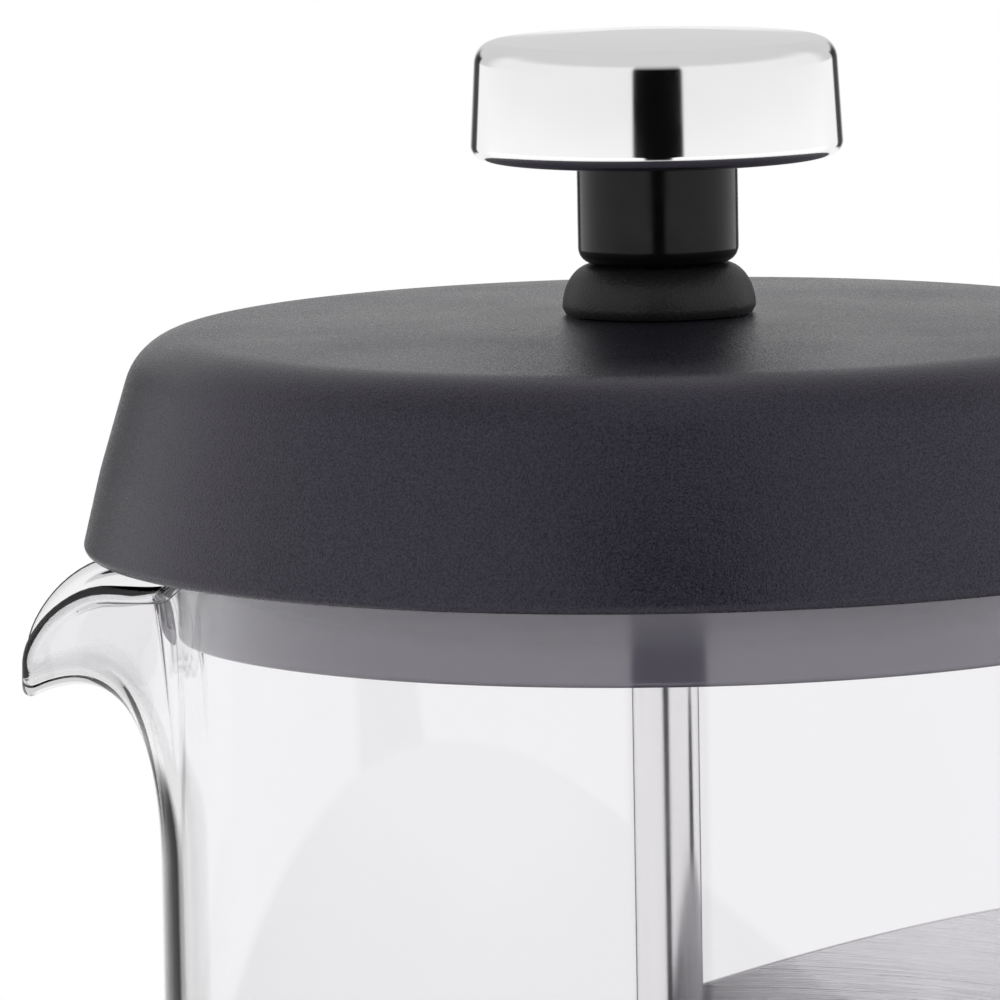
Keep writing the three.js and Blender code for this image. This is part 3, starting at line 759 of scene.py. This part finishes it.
# The strainer: a row of slots in the plug, on the spout's side.
SLOT_COUNT = 5
SLOT_STEP = math.radians(6.4)
SLOT_WIDTH = 2.6
SLOT_HEIGHT = 4.6
slots = []
for k in range(SLOT_COUNT):
    turn = math.pi + SLOT_STEP * (k - (SLOT_COUNT - 1) / 2)
    centre = (plug_radius - PLUG_WALL / 2, 0, (plug_bottom + skirt) / 2)
    slots.append(block("slot", (4 * PLUG_WALL, SLOT_WIDTH, SLOT_HEIGHT), centre, turn))
stands_for(cut(insert, *slots), "lid_insert", "plug")

seal_points = rectangle(plug_radius + 0.4, high("lid_seal").y, low("lid_seal").z, high("lid_seal").z, 0.6)
seal = revolve("lid_seal_ring", seal_points)
stands_for(seal, "lid_seal", "silicone")

boss_bottom = low("lid_boss").z
boss_top = high("lid_boss").z
boss_foot = lid_centre + SEAT_GAP
boss_rise = boss_top - boss_foot
BOSS_FOOT_RADIUS = 9.2
BOSS_TOP_RADIUS = 6.5
BOSS_BULGE = 3
BOSS_EDGE_SHARE = 0.12
BUSH_WALL = 1.6
dome = []
for k in range(17):
    angle = math.pi / 2 * k / 16
    rise_share = BOSS_EDGE_SHARE + (1 - BOSS_EDGE_SHARE) * math.sin(angle)
    dome.append(Vector((BOSS_TOP_RADIUS + BOSS_BULGE * math.cos(angle), boss_foot + boss_rise * rise_share)))
boss_bore = ROD_RADIUS + RUNNING_GAP + BUSH_WALL + SEAT_GAP
boss = revolve(
    "boss_dome",
    [
        *outline(
            [
                (boss_bore, boss_bottom),
                (SHANK_RADIUS, boss_bottom, 0.4),
                (SHANK_RADIUS, boss_foot),
                (BOSS_FOOT_RADIUS, boss_foot),
            ]
        ),
        *dome,
        Vector((boss_bore, boss_top)),
    ],
    MEDIUM,
)
stands_for(boss, "lid_boss", "boss")

bush_bottom = low("rod_bush").z
bush_top = high("rod_bush").z
bush_inner = ROD_RADIUS + RUNNING_GAP
bush = revolve(
    "rod_bush_liner",
    outline(
        [
            (bush_inner, bush_bottom, 0.3),
            (SHANK_RADIUS - SEAT_GAP, bush_bottom, 0.3),
            (SHANK_RADIUS - SEAT_GAP, bush_bottom + 1),
            (bush_inner + BUSH_WALL, bush_bottom + 1),
            (bush_inner + BUSH_WALL, bush_top),
            (bush_inner, bush_top, 0.3),
        ]
    ),
    MEDIUM,
)
stands_for(bush, "rod_bush", "silicone")

NUT_RADIUS = 11
NUT_GRIPS = 12
NUT_POINTS = rectangle(SHANK_RADIUS + SEAT_GAP, NUT_RADIUS, low("boss_nut").z, high("boss_nut").z, 0.5)


def nut_section(angle):
    """The nut's outline, with its outer side 1 mm deeper between the finger grips."""
    grip_wave = 0.5 * (1 - math.cos(NUT_GRIPS * angle))
    return [(r - grip_wave if r > 8 else r, z) for r, z in NUT_POINTS]


stands_for(sweep_round("boss_nut_ring", FINE, nut_section), "boss_nut", "boss")

# ---- Plunger ----

knob_bottom = low("knob_cap").z
knob_top = high("knob_cap").z
KNOB_RADIUS = 18.4
KNOB_TOP_RADIUS = 17.75
KNOB_EDGE_RADIUS = 2.2
KNOB_CROWN = 0.5
KNOB_LIP = 2.6
lip = KNOB_RADIUS - KNOB_LIP - KNOB_WALL
cap = revolve(
    "knob_shell",
    outline(
        [
            (lip, knob_bottom, 0.3),
            (KNOB_RADIUS, knob_bottom, 1.4),
            (KNOB_TOP_RADIUS, knob_top - KNOB_CROWN, KNOB_EDGE_RADIUS),
            (KNOB_TOP_RADIUS * 0.5, knob_top - KNOB_CROWN * 0.25, 60),
            (0, knob_top),
            (0, knob_top - KNOB_WALL),
            (KNOB_TOP_RADIUS * 0.5, knob_top - KNOB_CROWN * 0.25 - KNOB_WALL),
            (KNOB_TOP_RADIUS - KNOB_WALL, knob_top - KNOB_CROWN - KNOB_WALL, KNOB_EDGE_RADIUS - KNOB_WALL),
            (KNOB_RADIUS - KNOB_WALL, knob_bottom + KNOB_WALL, 0.3),
            (lip, knob_bottom + KNOB_WALL, 0.3),
        ]
    ),
)
stands_for(cap, "knob_cap", "polished")

NECK_RADIUS = 7.9
INSERT_RADIUS = 5
HUB_NUT_RADIUS = 7
neck_bottom = low("knob_core").z
core_flange = knob_bottom + KNOB_WALL + SEAT_GAP
core_top = high("knob_core").z
core_radius = high("knob_core").x
insert_bore = INSERT_RADIUS + SEAT_GAP
insert_bottom = low("knob_insert").z - SEAT_GAP
core = revolve(
    "knob_neck",
    outline(
        [
            (ROD_RADIUS + SEAT_GAP, neck_bottom),
            (NECK_RADIUS, neck_bottom, 1.6),
            (NECK_RADIUS, core_flange),
            (core_radius, core_flange),
            (core_radius, core_top, 0.5),
            (insert_bore, core_top),
            (insert_bore, insert_bottom),
            (ROD_RADIUS + SEAT_GAP, insert_bottom),
        ]
    ),
    MEDIUM,
)
stands_for(core, "knob_core", "gloss")

thread_bore = ROD_THREAD_RADIUS + RUNNING_GAP
for node, radius, material in (
    ("knob_insert", INSERT_RADIUS, "brass"),
    ("hub_nut", HUB_NUT_RADIUS, "filter"),
):
    points = rectangle(thread_bore, radius, low(node).z, high(node).z, 0.5)
    stands_for(revolve(node + "_ring", points, MEDIUM), node, material)

COLLAR_RADIUS = 5.5
COLLAR_FOOT_RADIUS = 8
collar_bottom = low("hub_collar").z
collar_top = high("hub_collar").z
collar_middle = (collar_bottom + collar_top) / 2
collar = revolve(
    "hub_collar_turned",
    outline(
        [
            (thread_bore, collar_bottom),
            (COLLAR_FOOT_RADIUS, collar_bottom, 0.4),
            (COLLAR_FOOT_RADIUS, collar_bottom + 1.4, 0.4),
            (COLLAR_RADIUS, collar_bottom + 1.6, 0.3),
            (COLLAR_RADIUS, collar_top, 1),
            (ROD_RADIUS + RUNNING_GAP, collar_top, 0.2),
            (ROD_RADIUS + RUNNING_GAP, collar_middle - SEAT_GAP),
            (thread_bore, collar_middle - SEAT_GAP),
        ]
    ),
    MEDIUM,
)
stands_for(collar, "hub_collar", "turned")

rod_bottom = low("plunger_rod").z
rod_top = high("plunger_rod").z
rod = revolve(
    "rod_polished",
    outline(
        [
            (0, rod_bottom),
            (ROD_THREAD_RADIUS, rod_bottom, 0.5),
            (ROD_THREAD_RADIUS, collar_middle),
            (ROD_RADIUS, collar_middle, 0.4),
            (ROD_RADIUS, insert_bottom, 0.4),
            (ROD_THREAD_RADIUS, insert_bottom),
            (ROD_THREAD_RADIUS, rod_top, 0.5),
            (0, rod_top),
        ]
    ),
    MEDIUM,
)
stands_for(rod, "plunger_rod", "rod")

# ---- Filter pack ----

plate_radius = high("upper_plate").y


def ring_of_holes(radius, ring_share, count, first=0.0):
    """count holes on a circle that is ring_share of the plate's radius."""
    holes = []
    for k in range(count):
        angle = TAU * (k + first) / count
        ring = ring_share * plate_radius
        holes.append(circle(radius, ring * math.cos(angle), ring * math.sin(angle), 32))
    return holes


plate_holes = ring_of_holes(3, 0.8, 12) + ring_of_holes(2.6, 0.46, 8, 0.5)
upper_plate = punched_plate(
    "upper_plate_disc",
    [circle(plate_radius), circle(thread_bore, sides=48), *plate_holes],
    low("upper_plate").z,
    PLATE_THICKNESS,
)
stands_for(upper_plate, "upper_plate", "turned")


def cross_gap(k, count=6, rim_width=4, hub=11, spoke=6, steps=24):
    """The opening between two spokes of the cross plate."""
    outer = high("cross_plate").y - rim_width
    start = TAU * k / count
    end = TAU * (k + 1) / count
    loop = []
    for radius, a, b in ((outer, start, end), (hub, end, start)):
        trim = math.copysign(spoke / 2 / radius, b - a)
        for i in range(steps + 1):
            angle = a + trim + (b - a - 2 * trim) * i / steps
            loop.append((radius * math.cos(angle), radius * math.sin(angle)))
    return loop


cross = punched_plate(
    "cross_plate_disc",
    [circle(high("cross_plate").y), circle(thread_bore, sides=48), *[cross_gap(k) for k in range(6)]],
    low("cross_plate").z,
    PLATE_THICKNESS,
)
stands_for(cross, "cross_plate", "filter")

MESH_SAG = 0.1
MESH_THICKNESS = 0.4
mesh_bottom = low("filter_mesh").z + MESH_SAG
mesh_top = mesh_bottom + MESH_THICKNESS
mesh_radius = high("filter_mesh").y
mesh_points = (
    (thread_bore, mesh_bottom),
    (plate_radius, mesh_bottom),
    (mesh_radius, mesh_bottom - MESH_SAG),
    (mesh_radius, mesh_top - MESH_SAG),
    (plate_radius, mesh_top),
    (thread_bore, mesh_top),
)
cloth = revolve("filter_cloth", mesh_points)
stands_for(cloth, "filter_mesh", "mesh")


def filter_coil(turns=170, per_turn=10, wire=0.28):
    """A coil of wire bent into a ring, as in the real filter pack."""
    centre_radius = high("filter_coil").y - COIL_RADIUS
    height = (low("filter_coil").z + high("filter_coil").z) / 2
    curve = bpy.data.curves.new("coil", "CURVE")
    curve.dimensions = "3D"
    curve.bevel_depth = wire * MM
    curve.bevel_resolution = 2
    spline = curve.splines.new("POLY")
    count = turns * per_turn
    spline.points.add(count - 1)
    for k, point in enumerate(spline.points):
        round_ring = TAU * k / count
        round_wire = TAU * k / per_turn
        radius = centre_radius + (COIL_RADIUS - wire) * math.cos(round_wire)
        z = height + (COIL_RADIUS - wire) * math.sin(round_wire)
        place = Vector((radius * math.cos(round_ring), radius * math.sin(round_ring), z)) * MM
        point.co = (*place, 1)
    spline.use_cyclic_u = True
    obj = bpy.data.objects.new("filter_coil_wire", curve)
    bpy.context.scene.collection.objects.link(obj)
    data = bpy.data.meshes.new_from_object(obj.evaluated_get(bpy.context.evaluated_depsgraph_get()))
    bpy.data.objects.remove(obj)
    mesh = bmesh.new()
    mesh.from_mesh(data)
    return new_object("filter_coil_wire", mesh)


stands_for(filter_coil(), "filter_coil", "filter")

# ---- Carried-over solids ----

for node, material in (
    ("upper_bracket", "brushed"),
    ("lower_bracket", "brushed"),
    ("upper_screw", "polished"),
    ("lower_screw", "polished"),
):
    data = frame["nodes"][node].data
    data.materials.clear()
    data.materials.append(MATERIAL[material])

# ---- Stage ----


def pale_floor(solid_to=0.34, gone_at=0.62):
    """A round of pale floor that fades out into the white round it."""
    mesh = bmesh.new()
    bmesh.ops.create_circle(mesh, cap_ends=True, segments=128, radius=gone_at)
    floor = new_object("floor", mesh)
    floor.location.z = low("base_pad").z * MM - 0.0001
    finish = Finish("floor_white", roughness=0.7, specular_ior_level=0.1)
    finish.shader.inputs["Emission Color"].default_value = (1, 1, 1, 1)
    finish.shader.inputs["Emission Strength"].default_value = 0.2
    mottle = finish.noise(120, detail=3)
    finish.drive("Base Color", finish.mix(mottle, (0.83, 0.83, 0.83), (0.86, 0.86, 0.86)))
    out = finish.add("ShaderNodeVectorMath", {0: finish.place}, operation="LENGTH").outputs["Value"]
    finish.drive("Alpha", finish.spread(out, 1, 0, solid_to, gone_at))
    floor.data.materials.append(finish.material)


class Sky:
    """The studio as light that comes from each direction."""

    def __init__(self):
        world = bpy.data.worlds.new("studio")
        bpy.context.scene.world = world
        world.use_nodes = True
        self.tree = world.node_tree
        self.background = self.tree.nodes["Background"]
        direction = self.tree.nodes.new("ShaderNodeTexCoord").outputs["Generated"]
        split = self.tree.nodes.new("ShaderNodeSeparateXYZ")
        self.tree.links.new(direction, split.inputs[0])
        self.x, self.y, self.z = split.outputs

    def maths(self, operation, *values):
        node = self.tree.nodes.new("ShaderNodeMath")
        node.operation = operation
        for socket, value in zip(node.inputs, values):
            if isinstance(value, bpy.types.NodeSocket):
                self.tree.links.new(value, socket)
            else:
                socket.default_value = value
        return node.outputs["Value"]

    def ramp(self, value, start, end, first, last):
        node = self.tree.nodes.new("ShaderNodeMapRange")
        node.interpolation_type = "SMOOTHSTEP"
        self.tree.links.new(value, node.inputs["Value"])
        for key, number in (("From Min", start), ("From Max", end), ("To Min", first), ("To Max", last)):
            if isinstance(number, bpy.types.NodeSocket):
                self.tree.links.new(number, node.inputs[key])
            else:
                node.inputs[key].default_value = number
        return node.outputs["Result"]

    def mix(self, fac, first, second):
        change = self.maths("SUBTRACT", second, first)
        return self.maths("ADD", first, self.maths("MULTIPLY", fac, change))


def dark_gap(sky, azimuth, path):
    """How dark the gap between the soft boxes is. It is wider above the horizon than below it, and fades
    out high up. It shows only in reflections, and those behind the glass are dark grey."""
    half_width = sky.ramp(sky.z, -0.14, -0.03, 8.5, 15.4)
    inside = sky.ramp(sky.maths("SUBTRACT", azimuth, half_width), -1.0, 1.0, 1.0, 0.0)
    mirrored = sky.ramp(path.outputs["Glossy Depth"], 0.0, 1.0, 0.0, 1.0)
    behind_glass = sky.maths("MULTIPLY", mirrored, 0.95)
    depth = sky.mix(path.outputs["Is Transmission Ray"], 0.998, behind_glass)
    level = sky.maths("MULTIPLY", depth, sky.ramp(sky.z, 0.25, 0.75, 1.0, 0.0))
    return sky.maths("MULTIPLY", inside, level)


def dark_flags(sky, azimuth):
    """How dark the two flags are. They stand near the horizon, and get lighter towards the middle of the
    back."""
    outer_edge = sky.ramp(azimuth, 147, 150, 0.0, 1.0)
    inner_edge = sky.maths("POWER", sky.ramp(azimuth, 158, 170.5, 1.0, 0.0), 0.5)
    bottom_edge = sky.ramp(sky.z, -0.24, -0.17, 0.0, 1.0)
    top_edge = sky.ramp(sky.z, 0.12, 0.2, 0.94, 0.0)
    across = sky.maths("MULTIPLY", outer_edge, inner_edge)
    return sky.maths("MULTIPLY", across, sky.maths("MULTIPLY", bottom_edge, top_edge))


def white_boxes(sky, azimuth):
    """The white all round: brightest low in front, and dimmer high at the back and overhead."""
    behind = sky.ramp(azimuth, 120, 140, 0.0, 1.0)
    low_front = sky.ramp(sky.z, -0.14, 0.06, 1.15, 0.92)
    high_back = sky.ramp(sky.z, -0.02, 0.05, 1.0, 0.68)
    overhead = sky.ramp(sky.z, 0.4, 0.7, 0.0, 1.0)
    return sky.mix(overhead, sky.mix(behind, low_front, high_back), 0.7)


def studio():
    """Two large soft boxes in front with a dark gap between them, white all round, and a dark flag on
    each side at the back. The camera itself sees plain white."""
    sky = Sky()
    turn = sky.maths("ARCTAN2", sky.x, sky.maths("MULTIPLY", sky.y, -1.0))
    azimuth = sky.maths("ABSOLUTE", sky.maths("MULTIPLY", turn, math.degrees(1)))
    path = sky.tree.nodes.new("ShaderNodeLightPath")
    dark = sky.maths("ADD", dark_gap(sky, azimuth, path), dark_flags(sky, azimuth))
    around = sky.maths("MULTIPLY", white_boxes(sky, azimuth), sky.maths("SUBTRACT", 1.0, dark))
    strength = sky.maths("MAXIMUM", around, path.outputs["Is Camera Ray"])
    sky.tree.links.new(strength, sky.background.inputs["Strength"])
    sky.background.inputs["Color"].default_value = (1, 1, 1, 1)


pale_floor()
studio()

# ---- Camera ----

CAMERA_DISTANCE = 1000
CAMERA_HEIGHT = skirt + 124
AIM = Vector((-15.96, 0, skirt + 4.25))
ROLL = math.radians(1.0)
SENSOR_WIDTH = 36
LENS = 368.6
FURTHEST_SEEN = 50  # metres


def front_camera():
    """Looks from in front, a little above the lid, at the upper half of the press, from about a metre."""
    data = bpy.data.cameras.new("camera")
    camera = bpy.data.objects.new("camera", data)
    bpy.context.scene.collection.objects.link(camera)
    bpy.context.scene.camera = camera
    place = Vector((AIM.x, -CAMERA_DISTANCE, CAMERA_HEIGHT))
    look = (AIM - place).to_track_quat("-Z", "Y").to_matrix().to_4x4()
    camera.matrix_world = Matrix.Translation(place * MM) @ look @ Matrix.Rotation(-ROLL, 4, "Z")
    data.sensor_width = SENSOR_WIDTH
    data.lens = LENS
    data.clip_end = FURTHEST_SEEN


front_camera()

bpy.context.scene.view_settings.view_transform = "Standard"

# Light passes four glass surfaces on its way to the rod and back, so it needs more bounces than usual.
bpy.context.scene.cycles.max_bounces = 24
bpy.context.scene.cycles.transmission_bounces = 16
